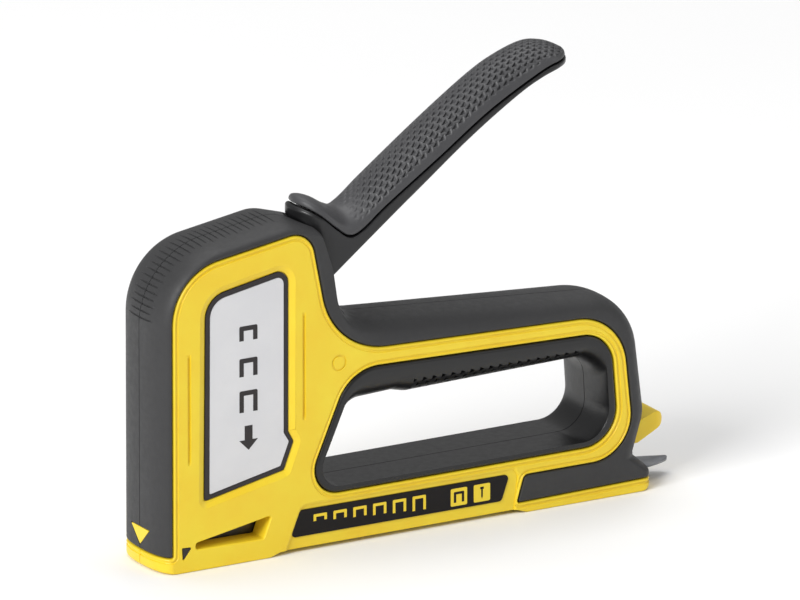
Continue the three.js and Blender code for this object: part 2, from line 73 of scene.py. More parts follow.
# Outlines as corners (x, z, radius), counter-clockwise.
BODY_CENTRE = [
    (0, 0, 1.4), (42, 0, 0), (46, 1.3, 0), (138, 1.3, 0), (142, 0, 0), (193.4, 0, 2.0),
    (193.4, 6.6, 1.3), (187.2, 12.2, 1.5), (191.9, 26.5, 12), (186.5, 69.1, 20),
    (70.3, 78.2, 16), (67.2, 97, 5), (62.8, 112, 3), (50, 116.2, 18), (0, 108.6, 28),
]
BODY_SIDE = [
    (4.8, 0, 1.4), (42, 0, 0), (46, 1.3, 0), (138, 1.3, 0), (142, 0, 0), (188.5, 0, 1.2),
    (188.5, 6.2, 2.5), (180, 12.4, 1.5), (184.1, 28, 12), (179.8, 65, 19.8),
    (70.8, 69, 22), (66.6, 97, 5), (62.3, 110.2, 3), (50.5, 112.8, 8), (4.8, 105.6, 21),
]
YELLOW_EDGE = [
    (-3, -3, 0), (200, -3, 0), (200, 4.35, 0), (138.2, 3.4, 1), (141.2, 13.2, 2),
    (184.8, 13.2, 15.2), (179.3, 64.2, 19.6), (66.8, 67.9, 26), (57.8, 112.9, 8.3),
    (4.8, 104.7, 20.6), (4.8, 5.5, 0.8), (-3, 5.5, 0),
]
LINER_EDGE = [(73.3, 61.5, 16.5), (54.6, 18.5, 9.3), (178.6, 18.6, 13), (175.4, 58.7, 12.5)]
HOLE_CENTRE = [
    (71.8, 47.4, 13), (58.6, 21, 7), (174, 21, 10.5), (172.3, 48.9, 9), (98.6, 47.0, 4),
    (93, 48.4, 4),
]
HOLE_SIDE = [
    (75.2, 58.8, 14), (58.6, 21, 7), (175.4, 21, 10.8), (172.9, 56.3, 10), (98.6, 58.2, 4),
    (93, 58.34, 4),
]
TOWER_BAY = [
    (6.6, 1.9, 0), (50, 1.9, 0), (51, 16, 2), (57.6, 32, 0), (66.1, 51.5, 5), (60.5, 88, 0),
    (56, 109.4, 6), (6.6, 101.9, 18),
]
LEVER_POCKET = [
    (50, 84, 0), (60, 76.6, 2), (73.6, 80, 0), (66.2, 90, 2), (64.6, 97, 2), (60.6, 108.8, 2),
    (50, 112, 0),
]
LEVER_MOUTH = [(48, 84, 0), (60, 76.6, 0), (74.4, 80, 2), (92, 88, 0), (92, 130, 0), (48, 130, 0)]
WINDOW = [(13.4, 7.4, 1), (39.5, 7.1, 0.6), (42.5, 14.7, 0.6), (13.4, 9.6, 1)]
STRIP_ZONE = [(46.6, -4, 0), (136.6, -4, 0), (138.8, 13.2, 1), (137, 15.9, 1), (54.5, 16.2, 3)]
LABEL_FRAME = [
    (17, 23.8, 0.6), (47.6, 30, 0.8), (51.3, 39.5, 0.8), (49.3, 43.2, 2), (49.4, 100.7, 4),
    (17.7, 94.9, 9),
]
LABEL_PLATE = [
    (19, 25.8, 0.5), (46.4, 31.5, 0.6), (49.7, 39.7, 0.6), (47.7, 43, 1.5), (47.8, 98.4, 2.4),
    (19.4, 93.3, 7),
]
NAME_STRIP = [(50, 5.4, 1.4), (132.3, 5.2, 1.4), (135.5, 14.2, 1.4), (53.8, 14.6, 1.4)]
SIDE_MARKER = [(8.1, 8.6, 0.2), (8.4, 4.4, 0.2), (11.5, 8.4, 0.2)]
FRONT_MARKER = [(-6, 13.6, 0.3), (0, 7.5, 0.3), (6, 13.6, 0.3)]          # y, z, radius
LATCH_SIDE = [
    (178.4, 14.9, 1.2), (189.7, 14.9, 1), (200.8, 20.6, 2.7), (198.4, 25.6, 2.5),
    (188.5, 22, 3), (178.4, 20.4, 1.6),
]
# Curves of the lever from its nose to its tip, (x, z).
LEVER_UNDER = [
    (67.3, 92.2), (80, 102), (100, 117.3), (120, 132.7), (140, 146.2), (150, 151.3),
    (157, 153.3), (163.8, 153.8),
]
LEVER_SEAM = [
    (58.1, 117.8), (60.5, 117.6), (65, 114.7), (70, 110.2), (75, 106.8), (80, 108), (90, 115.5),
    (110, 128.9), (130, 142.5), (150, 153.1), (157, 155.3), (163.8, 155.7),
]
LEVER_LIP = [
    (58.1, 119.8), (60.5, 119.7), (65, 117.0), (70, 112.8), (75, 109.4), (80, 110.8),
    (90, 117.9), (110, 131.3), (130, 145), (150, 155.5), (157, 157.3), (163.8, 157.1),
]
LEVER_CROWN = [
    (58.1, 120.2), (62, 120.8), (66, 119.6), (71, 116.6), (76, 115.2), (82, 118.4), (90, 125),
    (110, 140.1), (130, 153.4), (140, 158.4), (150, 161.1), (158, 160.2), (163.8, 157.4),
]
# Underside of the lever's nose, where it dives into the body.
LEVER_THROAT = [(58.1, 112.8), (58.6, 112.4), (60.3, 110.8), (63.4, 107.0), (65.6, 99), (67.3, 92.2)]


# ---------------------------------------------------------------- outlines and curves
def arc_steps(radius):
    return 0 if radius == 0 else 4 + int(radius * 0.9)


def rounded(corners, steps=None):
    """Points of a closed outline whose corners are rounded by arcs."""
    steps = steps or [arc_steps(radius) for _, _, radius in corners]
    points = []
    for i, (x, z, radius) in enumerate(corners):
        corner = np.array([x, z], float)
        if steps[i] == 0:
            points.append(corner)
            continue
        before = np.array(corners[i - 1][:2], float) - corner
        after = np.array(corners[(i + 1) % len(corners)][:2], float) - corner
        before /= np.linalg.norm(before)
        after /= np.linalg.norm(after)
        half = math.acos(np.clip(before @ after, -1, 1)) / 2
        middle = before + after
        centre = corner + middle / np.linalg.norm(middle) * radius / math.sin(half)
        start = corner + before * radius / math.tan(half) - centre
        end = corner + after * radius / math.tan(half) - centre
        sweep = math.atan2(start[0] * end[1] - start[1] * end[0], start @ end)
        for k in range(steps[i] + 1):
            c, s = math.cos(sweep * k / steps[i]), math.sin(sweep * k / steps[i])
            spoke = np.array([c * start[0] - s * start[1], s * start[0] + c * start[1]])
            points.append(centre + spoke)
    return np.array(points)


def offset(points, by):
    """The outline moved along its normals; positive makes a counter-clockwise outline bigger."""
    before = points - np.roll(points, 1, 0)
    after = np.roll(points, -1, 0) - points
    before /= np.linalg.norm(before, axis=1)[:, None]
    after /= np.linalg.norm(after, axis=1)[:, None]
    normal = np.stack([(before + after)[:, 1], -(before + after)[:, 0]], 1)
    normal /= np.linalg.norm(normal, axis=1)[:, None]
    stretch = 1 / np.maximum(0.5, normal[:, 0] * after[:, 1] - normal[:, 1] * after[:, 0])
    return points + normal * (by * stretch)[:, None]


def subdivided(points, longest):
    """An open line with no segment longer than the given length."""
    out = [points[0]]
    for a, b in zip(points[:-1], points[1:]):
        count = max(1, math.ceil(np.linalg.norm(b - a) / longest))
        out += [a + (b - a) * k / count for k in range(1, count + 1)]
    return np.array(out)


def height_curve(points):
    """A smooth curve z(x) through a few points, as a function of x."""
    p = np.array(points, float)
    p = np.vstack([p[:1], p, p[-1:]])
    t = np.linspace(0, 1, 25)[:-1, None]
    rows = []
    for a, b, c, d in zip(p[:-3], p[1:-2], p[2:-1], p[3:]):
        rows.append(
            b + 0.5 * t * (c - a) + t**2 * (a - 2.5 * b + 2 * c - 0.5 * d)
            + t**3 * (1.5 * b - 0.5 * a - 1.5 * c + 0.5 * d)
        )
    dense = np.vstack(rows + [p[-1:]])

    def height(x):
        return float(np.interp(x, dense[:, 0], dense[:, 1]))

    return height


# ---------------------------------------------------------------- mesh helpers
def mesh_object(name, vertices, faces):
    mesh = bpy.data.meshes.new(name)
    mesh.from_pydata([tuple(v) for v in vertices], [], faces)
    shape = bmesh.new()
    shape.from_mesh(mesh)
    if shape.calc_volume(signed=True) < 0:
        bmesh.ops.reverse_faces(shape, faces=shape.faces)
    shape.to_mesh(mesh)
    shape.free()
    obj = bpy.data.objects.new(name, mesh)
    bpy.context.scene.collection.objects.link(obj)
    return obj


def loft(rings, closed=False, name="loft"):
    """A closed skin over rings of equal length, with flat ends unless the rings form a loop."""
    size, count = len(rings[0]), len(rings)
    faces = []
    for r in range(count if closed else count - 1):
        a, b = r * size, ((r + 1) % count) * size
        for i in range(size):
            j = (i + 1) % size
            faces.append((a + i, a + j, b + j, b + i))
    if not closed:
        faces.append(tuple(range(size))[::-1])
        faces.append(tuple(range((count - 1) * size, count * size)))
    return mesh_object(name, np.vstack(rings), faces)


def place_xz(points, y):
    return np.column_stack([points[:, 0], np.full(len(points), y), points[:, 1]])


def plate(corners, y0, y1):
    """An outline in X and Z between two values of Y."""
    points = rounded(corners) if isinstance(corners, list) else corners
    return loft([place_xz(points, y0), place_xz(points, y1)])


def column(corners, z0, z1):
    """An outline in X and Y between two values of Z."""
    points = rounded(corners)
    return loft([np.column_stack([points, np.full(len(points), z)]) for z in (z0, z1)])


def bar(corners, x0, x1):
    """An outline in Y and Z between two values of X."""
    points = rounded(corners)
    return loft([np.column_stack([np.full(len(points), x), points]) for x in (x0, x1)])


def box(x0, x1, y0, y1, z0, z1):
    return column([(x0, y0, 0), (x1, y0, 0), (x1, y1, 0), (x0, y1, 0)], z0, z1)


def circle(x, z, radius, sides=40):
    turn = np.arange(sides) * 2 * math.pi / sides
    return np.column_stack([x + radius * np.cos(turn), z + radius * np.sin(turn)])


def pin(x, z, radius, y0, y1, sides=40):
    return plate(circle(x, z, radius, sides), y0, y1)


def joined(objects, name="joined"):
    """One object from several, without merging their surfaces."""
    shape = bmesh.new()
    for obj in objects:
        shape.from_mesh(obj.data)
        discard(obj)
    mesh = bpy.data.meshes.new(name)
    shape.to_mesh(mesh)
    shape.free()
    obj = bpy.data.objects.new(name, mesh)
    bpy.context.scene.collection.objects.link(obj)
    return obj


def discard(obj):
    mesh = obj.data
    bpy.data.objects.remove(obj)
    bpy.data.meshes.remove(mesh)


def copy_of(obj):
    other = obj.copy()
    other.data = obj.data.copy()
    bpy.context.scene.collection.objects.link(other)
    return other


def settle(obj):
    """Applies the object's modifiers."""
    graph = bpy.context.evaluated_depsgraph_get()
    mesh = bpy.data.meshes.new_from_object(obj.evaluated_get(graph))
    old = obj.data
    obj.modifiers.clear()
    obj.data = mesh
    bpy.data.meshes.remove(old)
    return obj


def combine(obj, operation, others, keep=False):
    for other in others:
        modifier = obj.modifiers.new("boolean", "BOOLEAN")
        modifier.operation = operation
        modifier.solver = "MANIFOLD"
        modifier.object = other
    settle(obj)
    if not keep:
        for other in others:
            discard(other)
    return obj


def cut(obj, *others, keep=False):
    return combine(obj, "DIFFERENCE", others, keep)


def common(obj, *others, keep=False):
    return combine(obj, "INTERSECT", others, keep)


def fused(obj, *others, keep=False):
    return combine(obj, "UNION", others, keep)


def bevelled(obj, width, segments=3, angle=35):
    modifier = obj.modifiers.new("bevel", "BEVEL")
    modifier.width = width
    modifier.segments = segments
    modifier.limit_method = "ANGLE"
    modifier.angle_limit = math.radians(angle)
    modifier.use_clamp_overlap = True
    return settle(obj)


def piece(obj, name, body, look, nodes=(), smooth=34):
    """Moves a finished mesh into the frame and gives it its name, body and material."""
    obj.name = name
    obj.data.name = name
    obj.data.transform(TO_FRAME)
    obj.data.materials.clear()
    obj.data.materials.append(look)
    obj.data.shade_smooth()
    obj.data.set_sharp_from_angle(angle=math.radians(smooth))
    weighted = obj.modifiers.new("normals", "WEIGHTED_NORMAL")
    weighted.keep_sharp = True
    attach(obj, body)
    if nodes:
        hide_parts(*nodes)
    return obj


# ---------------------------------------------------------------- materials
CLOUD_SCALE, GLOSS_SCALE = 55, 420        # noise sizes of moulded plastic
STAIN_SCALE, ROLLED_SCALE = 90, 900       # noise sizes of steel


def node_material(name):
    made = bpy.data.materials.new(name)
    made.use_nodes = True
    tree = made.node_tree
    shader = next(n for n in tree.nodes if n.type == "BSDF_PRINCIPLED")
    coords = tree.nodes.new("ShaderNodeTexCoord")
    return made, tree, shader, coords


def noise(tree, coords, scale, detail=4.0, roughness=0.55, stretch=None):
    source = coords.outputs["Object"]
    if stretch:
        mapping = tree.nodes.new("ShaderNodeMapping")
        mapping.inputs["Scale"].default_value = stretch
        tree.links.new(source, mapping.inputs["Vector"])
        source = mapping.outputs["Vector"]
    node = tree.nodes.new("ShaderNodeTexNoise")
    node.inputs["Scale"].default_value = scale
    node.inputs["Detail"].default_value = detail
    node.inputs["Roughness"].default_value = roughness
    tree.links.new(source, node.inputs["Vector"])
    return node.outputs["Fac"]


def ramp(tree, value, stops):
    node = tree.nodes.new("ShaderNodeValToRGB")
    node.color_ramp.elements[0].position = stops[0][0]
    node.color_ramp.elements[0].color = (*stops[0][1], 1)
    node.color_ramp.elements[1].position = stops[-1][0]
    node.color_ramp.elements[1].color = (*stops[-1][1], 1)
    for position, colour in stops[1:-1]:
        node.color_ramp.elements.new(position).color = (*colour, 1)
    tree.links.new(value, node.inputs["Fac"])
    return node.outputs["Color"]


def ranged(tree, value, low, high):
    node = tree.nodes.new("ShaderNodeMapRange")
    node.inputs["From Min"].default_value = 0.33
    node.inputs["From Max"].default_value = 0.7
    node.inputs["To Min"].default_value = low
    node.inputs["To Max"].default_value = high
    tree.links.new(value, node.inputs["Value"])
    return node.outputs["Result"]


def bump(tree, shader, value, depth, strength):
    node = tree.nodes.new("ShaderNodeBump")
    node.inputs["Distance"].default_value = depth
    node.inputs["Strength"].default_value = strength
    tree.links.new(value, node.inputs["Height"])
    tree.links.new(node.outputs["Normal"], shader.inputs["Normal"])


def linear(hex_colour):
    """An sRGB colour such as F0D23F as linear values."""
    values = [int(hex_colour[i:i + 2], 16) / 255 for i in (0, 2, 4)]
    return tuple(v / 12.92 if v < 0.04045 else ((v + 0.055) / 1.055) ** 2.4 for v in values)


def plastic(name, colour, deeper, rough, grain, depth, specular=0.5):
    """Moulded plastic: cloudy colour, uneven gloss and a fine spark-eroded grain."""
    made, tree, shader, coords = node_material(name)
    cloud = ramp(tree, noise(tree, coords, CLOUD_SCALE, 5), [(0.3, deeper), (0.7, colour)])
    tree.links.new(cloud, shader.inputs["Base Color"])
    gloss = ranged(tree, noise(tree, coords, GLOSS_SCALE, 3), *rough)
    tree.links.new(gloss, shader.inputs["Roughness"])
    bump(tree, shader, noise(tree, coords, grain, 3, 0.6), depth, 0.6)
    shader.inputs["Specular IOR Level"].default_value = specular
    return made


def metal(name, colour, darker, rough, stretch):
    """Rolled steel: long faint grain, patchy gloss and a few darker stains."""
    made, tree, shader, coords = node_material(name)
    shader.inputs["Metallic"].default_value = 1.0
    stain = ramp(tree, noise(tree, coords, STAIN_SCALE, 6), [(0.25, darker), (0.65, colour)])
    tree.links.new(stain, shader.inputs["Base Color"])
    lines = noise(tree, coords, ROLLED_SCALE, 4, 0.7, stretch)
    tree.links.new(ranged(tree, lines, *rough), shader.inputs["Roughness"])
    bump(tree, shader, lines, 0.00002, 0.5)
    return made


YELLOW = plastic("yellow_plastic", linear("F1D62F"), linear("EFCB25"), (0.34, 0.42), 2600, 0.00004)
RUBBER = plastic("black_rubber", linear("333334"), linear("2E2E2F"), (0.48, 0.58), 3400, 0.00009, 0.45)
# The liner's black is darker than the other rubber's: painted shade for the dim inside of the hand
# hole.
LINER = plastic("liner_rubber_painted_shade", linear("141415"), linear("111112"), (0.3, 0.38), 3000, 0.00004, 0.5)
# The pad's grey is lighter than the other rubber's: painted light for the lit top of the lever.
PAD_PAINTED_LIGHT = plastic("pad_rubber_painted_light", linear("454547"), linear("3F3F41"), (0.4, 0.5), 3400, 0.00006, 0.5)
# The lever frame's black is partly its own colour and partly painted shade for the dark undercut below
# its nose.
LEVER = plastic("lever_plastic_painted_shade", linear("18181A"), linear("151516"), (0.32, 0.4), 2800, 0.00005, 0.5)
TRIM = plastic("black_trim", linear("2E2A2B"), linear("292526"), (0.4, 0.5), 2200, 0.00003, 0.35)
INK = plastic("strip_black", linear("161314"), linear("120F10"), (0.3, 0.38), 1800, 0.00002, 0.2)
LABEL = plastic("label_silver", linear("DADADC"), linear("D3D3D6"), (0.3, 0.42), 1500, 0.00002)
STEEL = metal("steel", linear("B4B5B7"), linear("7E7F82"), (0.24, 0.42), (1, 8, 8))
# A darker steel for the magazine channel: painted shade for the dim inside of the side windows.
STEEL_PAINTED_SHADE = metal("steel_painted_shade", linear("5A5A5D"), linear("343436"), (0.3, 0.45), (1, 8, 8))
SPRING = metal("spring_steel", linear("8D8F93"), linear("55575B"), (0.28, 0.42), (1, 1, 1))


# ---------------------------------------------------------------- body
BODY_STATIONS = 18                        # sections from the split to the flat side
FRONT_SEAM_Z, REAR_SEAM_Z = 5.5, 4.25     # the colour seam where it crosses nose and rear
REAR_SEAM_END, SEAM_REACH = (188.2, 4.17), 14.7
CUTTER_TOP = -0.6                         # how far edge cutters stand above the surface
RIB_COUNT, RIB_PITCH, RIB_RADIUS, RIB_REACH = 27, 2.35, 0.52, (9.4, 8.2)
ROOF_PITCH = 3.7


def easing(y):
    """Share of the way from the centre outline to the side outline."""
    return 1 - math.sqrt(max(0.0, 1 - min(1, abs(y) / HALF_WIDTH) ** ROLL_POWER))


def eased_points(centre_corners, side_corners):
    """Both outlines, with the same number of points on each corner."""
    steps = [arc_steps(radius) for _, _, radius in centre_corners]
    return rounded(centre_corners, steps), rounded(side_corners, steps)


def eased_body(centre_corners, side_corners, reach=HALF_WIDTH):
    """Full on the centre plane and easing over to its side outline."""
    centre, side = eased_points(centre_corners, side_corners)
    stations = list(HALF_WIDTH * np.sin(np.linspace(0, math.pi / 2, BODY_STATIONS)))
    if reach > HALF_WIDTH:
        stations.append(reach)
    across = [-y for y in stations[:0:-1]] + stations
    return loft([place_xz(centre + (side - centre) * easing(y), y) for y in across], name="body")


def surface_finder(obj):
    """A function that gives the point and normal where a ray meets the object."""
    tree = BVHTree.FromObject(obj, bpy.context.evaluated_depsgraph_get())

    def hit(origin, direction):
        point, normal, _, _ = tree.ray_cast(Vector(origin), Vector(direction))
        return point, normal

    return hit


def yellow_seam(hit):
    """The closed line on the surface where yellow meets black, with its outward normals."""
    outline = rounded(YELLOW_EDGE)[::-1]
    start = int(np.argmin(np.hypot(outline[:, 0] - 4.0, outline[:, 1] - FRONT_SEAM_Z)))
    outline = np.roll(outline, -start, 0)
    on_side = (outline[:, 1] > 0) & (outline[:, 0] > 3.9) & (outline[:, 0] < 190)
    line = subdivided(np.vstack([outline[on_side], REAR_SEAM_END]), 2.5)
    out, back = np.linspace(0, SEAM_REACH, 36), np.linspace(SEAM_REACH, 0, 36)
    rays = [((-20, -y, FRONT_SEAM_Z), (1, 0, 0)) for y in out]
    rays += [((x, -30, z), (0, 1, 0)) for x, z in line]
    rays += [((230, -y, REAR_SEAM_Z), (-1, 0, 0)) for y in back]
    path, normals = (np.array(rows) for rows in zip(*[hit(*ray) for ray in rays]))
    mirror = np.array([1, -1, 1])
    path = np.vstack([path, path[-2:0:-1] * mirror])
    normals = np.vstack([normals, normals[-2:0:-1] * mirror])
    for _ in range(2):
        normals = np.roll(normals, 1, 0) + 2 * normals + np.roll(normals, -1, 0)
        normals /= np.linalg.norm(normals, axis=1)[:, None]
    return path, normals


def flat_seam(corners, side):
    """A closed line on one flat side, running so that the outside is on the left."""
    points = rounded(corners)
    line = subdivided(np.vstack([points, points[:1]]), 4)[:-1]
    if side > 0:
        line = line[::-1]
    path = place_xz(line, side * HALF_WIDTH)
    return path, np.tile([0.0, side, 0.0], (len(path), 1))


def roll_profile(edge, width, depth, toward):
    """Section of the cutter that rolls an edge over: sideways distance and depth."""
    turns = np.linspace(0, math.pi / 2, 6)
    rows = [
        (toward * (edge + width * (1 - math.sin(a))), depth * (1 - math.cos(a))) for a in turns
    ]
    rows[0] = (toward * (edge + width), -0.02)
    back = toward * (edge - 0.5)
    return rows + [(back, depth), (back, CUTTER_TOP), (toward * (edge + width), CUTTER_TOP)]


def line_profile(middle, width, depth):
    """Section of the cutter for a shallow round line beside the seam."""
    turns = np.linspace(0, math.pi, 9)
    rows = [(middle + width / 2 * math.cos(a), depth * math.sin(a) - 0.01) for a in turns]
    return rows + [(middle - width / 2, CUTTER_TOP), (middle + width / 2, CUTTER_TOP)]


def swept(path, normals, profile):
    """A section of (sideways, depth) carried along a closed line on the surface."""
    tangent = np.roll(path, -1, 0) - np.roll(path, 1, 0)
    tangent /= np.linalg.norm(tangent, axis=1)[:, None]
    sideways = np.cross(tangent, normals)
    sideways /= np.linalg.norm(sideways, axis=1)[:, None]
    rings = []
    for point, left, out in zip(path, sideways, normals):
        rings.append(np.array([point + left * s - out * d for s, d in profile]))
    return loft(rings, closed=True)


def bays():
    """The hollows that the mechanism, the magazine and the lever work in."""
    mouth_plan = [
        (NOSE_CENTRE - INNER_HALF, -INNER_HALF, INNER_HALF - 0.01), (120, -INNER_HALF, 0),
        (120, INNER_HALF, 0), (NOSE_CENTRE - INNER_HALF, INNER_HALF, INNER_HALF - 0.01),
    ]
    mouth = common(plate(LEVER_MOUTH, -INNER_HALF, INNER_HALF), column(mouth_plan, 60, 140))
    return fused(
        plate(TOWER_BAY, -INNER_HALF, INNER_HALF),
        box(6.6, 176.2, -INNER_HALF, INNER_HALF, 1.9, 16),      # magazine
        box(6.6, 176.2, -7.2, 7.2, -2, 3),                      # its slot in the sole
        box(174, 230, -6.6, 6.6, 3.9, 7),                       # staple lifter
        box(174, 230, -8.7, 8.7, 6.1, 24.8),                    # rear cap and latch
        plate(LEVER_POCKET, -INNER_HALF, INNER_HALF),
        mouth,
    )


def dish(corners, wide, narrow, top, floor, side):
    """A recess with sloping borders on one side of the body."""
    points = rounded(corners)
    rows = [(wide, top), (narrow, floor), (narrow, floor - 0.4)]
    rings = [place_xz(offset(points, by), side * y) for by, y in [(wide, top + 1)] + rows]
    return loft(rings)


def slot_cutter(x0, x1, z0, z1, depth, side):
    """A vertical groove with a round floor."""
    middle, radius = (x0 + x1) / 2, (x1 - x0) / 2
    turn = np.linspace(0, math.pi, 9)
    rings = []
    for share in np.linspace(-1, 1, 25):
        fade = max(0.05, 1 - abs(share) ** 40)
        z = (z0 + z1) / 2 + share * (z1 - z0) / 2
        floor = side * (HALF_WIDTH - depth * fade * np.sin(turn))
        round_part = np.column_stack([middle + radius * np.cos(turn), floor, np.full(9, z)])
        mouth = [(middle - radius, side * 15.6, z), (middle + radius, side * 15.6, z)]
        rings.append(np.vstack([round_part, mouth]))
    return loft(rings)


def ring_groove(x, z, radius, width, depth, side):
    """The cutter for a circular groove in one flat side."""
    outer = pin(x, z, radius + width / 2, side * (HALF_WIDTH - depth), side * 16)
    inner = pin(x, z, radius - width / 2, side * (HALF_WIDTH - depth - 1), side * 17)
    return cut(outer, inner)


def along_line(rows, lengths, at):
    """The point of an open line at a distance along it."""
    return np.array([np.interp(at, lengths, rows[:, c]) for c in (0, 1)])


def rib_groove(line, edge, lengths, at, reach):
    """The cutter for one groove across the crown, at a distance along the outline."""
    ahead = along_line(line, lengths, at + 0.4) - along_line(line, lengths, at - 0.4)
    ahead /= np.linalg.norm(ahead)
    out = np.array([-ahead[1], ahead[0]])
    middle, outer = along_line(line, lengths, at), along_line(edge, lengths, at)
    turn = np.arange(8) * math.pi / 4
    section = RIB_RADIUS * (np.cos(turn)[:, None] * out + 0.7 * np.sin(turn)[:, None] * ahead)
    rings = []
    for y in np.linspace(-reach, reach, 25):
        spot = middle + (outer - middle) * easing(y)
        lift = 0.1 + 0.75 * (abs(y) / reach) ** 4
        flat = spot + out * lift + section
        rings.append(np.column_stack([flat[:, 0], np.full(8, y), flat[:, 1]]))
    return loft(rings)


def rib_grooves():
    """Fine grooves across the crown, from the front over the corner to the top."""
    centre, side = eased_points(BODY_CENTRE, BODY_SIDE)
    line, edge = centre[::-1], side[::-1]
    steps = np.linalg.norm(np.diff(line, axis=0), axis=1)
    lengths = np.concatenate([[0], np.cumsum(steps)])
    start = lengths[int(np.argmin(np.hypot(line[:, 0], line[:, 1] - 80.0)))] + 3.0
    return joined([
        rib_groove(line, edge, lengths, start + RIB_PITCH * k, RIB_REACH[k % 2])
        for k in range(RIB_COUNT)
    ])


def halves(whole, name, nodes, look, smooth=34):
    """Splits a piece at Y = 0 into its left and right halves."""
    for side, node in zip((-1, 1), nodes):
        inner, outer = sorted((side * SPLIT, side * 40))
        half = common(copy_of(whole), box(-40, 240, inner, outer, -40, 200))
        piece(half, f"{name}_{'left' if side < 0 else 'right'}", "body", look, [node], smooth)
    discard(whole)


def region(corners, by):
    """A block through the whole width, inside an outline."""
    return plate(offset(rounded(corners), by), -20, 20)


def screw_bores():
    shanks = joined([pin(x, z, 1.7, -11, 12.5, 20) for x, z in SCREWS])
    heads = joined([pin(x, z, 3.4, 12.3, 20) for x, z in SCREWS])
    return fused(shanks, heads)


def inner_ribs(body):
    """Ribs and screw posts that stand inside the shell."""
    ribs = [box(11, 34, -13.4, 13.4, 41, 43.7), box(17.6, 30.6, -6.8, 6.8, 102.6, 107)]
    posts = [pin(x, z, 3.6, -13.4, 13.4, 24) for x, z in SCREWS]
    inside = common(copy_of(body), region(YELLOW_EDGE, 0))
    cut(inside, region(LINER_EDGE, 0))
    return common(inside, fused(*ribs, *posts))


def cut_side_details(shell, side):
    """The window with its walls, the recesses and the grooves of one flat side."""
    fused(shell, box(11.5, 45, *sorted((side * 7.3, side * 12.9)), 1.9, 17.5))
    window = loft([
        place_xz(offset(rounded(WINDOW), by), side * y)
        for by, y in ((0.9, 15.6), (0.45, 15.0), (0.12, 14.7), (0, 14.2), (-0.1, 7))
    ])
    top = HALF_WIDTH + 0.02
    cut(
        shell, window,
        dish(STRIP_ZONE, 0.9, 0, top, 14.62, side),
        dish(LABEL_FRAME, 2.6, 0.3, top, 14.0, side),
        dish(LABEL_FRAME, 0.28, 0.28, 14.5, 13.7, side),
        dish(NAME_STRIP, 0.15, 0.15, 14.9, 14.4, side),
        dish(SIDE_MARKER, 0.3, 0.15, top, 14.7, side),
        slot_cutter(10.2, 11.5, 37.5, 76.5, 1.0, side),
        slot_cutter(54.6, 55.8, 46.5, 84.5, 0.9, side),
    )


def build_shell(body, seams, hollow, bores):
    """The yellow body halves."""
    shell = common(copy_of(body), region(YELLOW_EDGE, 0))
    cut(shell, region(LINER_EDGE, 0))
    for line in seams:
        rolled = swept(*line, roll_profile(0, 0.7, 1.0, 1))
        shallow = swept(*line, line_profile(1.35, 1.1, 0.5))
        cut(shell, rolled, shallow)
    cut(shell, hollow, keep=True)
    fused(shell, inner_ribs(body))
    for bore in bores:
        cut(shell, bore, keep=True)
    for side in (-1, 1):
        cut_side_details(shell, side)
    cut(shell, ring_groove(68.7, 64.6, 2.5, 0.7, 0.35, -1))
    halves(shell, "shell", ["left_shell", "right_shell"], YELLOW, 20.5)


def build_cover(body, seam, hollow, bores):
    """The black rubber over the front, the crown, the handle's back and the foot."""
    cover = cut(copy_of(body), region(YELLOW_EDGE, GAP), region(LINER_EDGE, 0))
    cut(cover, swept(*seam, roll_profile(GAP, 0.8, 0.9, -1)))
    for room in (hollow, *bores):
        cut(cover, room, keep=True)
    marker = [(y * 1.1, 10.9 + (z - 10.9) * 1.12, r) for y, z, r in FRONT_MARKER]
    cut(cover, bar(marker, -2, 1.3), rib_grooves())
    halves(cover, "overmould", ["left_overmould", "right_overmould"], RUBBER)


def build_liner(body, seams, screws):
    """The black lining of the hand hole, with the rounded underside of the handle."""
    liner = common(body, region(LINER_EDGE, -GAP))
    cut(liner, eased_body(HOLE_CENTRE, HOLE_SIDE, 18))
    cut(liner, *[swept(*line, roll_profile(GAP, 1.3, 0.9, -1)) for line in seams])
    cut(liner, roof_dimples(liner))
    cut(liner, screws)
    halves(liner, "hole_liner", ["left_hole_liner", "right_hole_liner"], LINER)


def build_body():
    body = eased_body(BODY_CENTRE, BODY_SIDE)
    seam = yellow_seam(surface_finder(body))
    liner_seams = [flat_seam(LINER_EDGE, side) for side in (-1, 1)]
    hollow = bays()
    pivot_bore = pin(PIVOT_X, PIVOT_Z, PIN + GAP, -13.7, 13.7)
    screws = screw_bores()
    build_shell(body, [seam, *liner_seams], hollow, [pivot_bore, screws])
    build_cover(body, seam, hollow, [pivot_bore, screws])
    build_liner(body, liner_seams, screws)
    discard(hollow)
    discard(pivot_bore)


def roof_pit(point, normal, size):
    """The cutter for one three-sided pit, sunk along the surface's normal."""
    along = Vector((1, 0, 0)) - normal * normal.x
    along.normalize()
    across = normal.cross(along)
    base = [
        point + size * (along * math.cos(a) + across * math.sin(a)) for a in (0, 2.094, 4.189)
    ]
    top = [p + normal * 0.4 for p in base]
    floor = point - normal * 0.9
    low = [floor + (p - point) * 0.7 for p in base]
    return loft([np.array(top), np.array(base), np.array(low)])


def roof_dimples(liner):
    """Small three-sided pits in the roof of the hand hole, smaller towards the front."""
    hit = surface_finder(liner)
    half_rows = (13.7, 12.3, 10.2, 7.8, 5.3, 2.7)
    pits = []
    for row, y in enumerate([*(-y for y in half_rows), 0, *half_rows[::-1]]):
        for k in range(18):
            x = 99 + ROOF_PITCH * k + (ROOF_PITCH / 2 if row % 2 else 0)
            point, normal = hit((x, y, 38), (0, 0, 1))
            if point is not None:
                pits.append(roof_pit(point, normal, 1.3 * min(1.0, (x - 90) / 12)))
    return joined(pits)


# ---------------------------------------------------------------- trims
LABEL_BED = 13.72                         # the label lies just above its recess's floor


def side_plate(points, low, high, side, soften=0.12):
    obj = plate(points, *sorted((side * low, side * high)))
    return bevelled(obj, soften, 2)


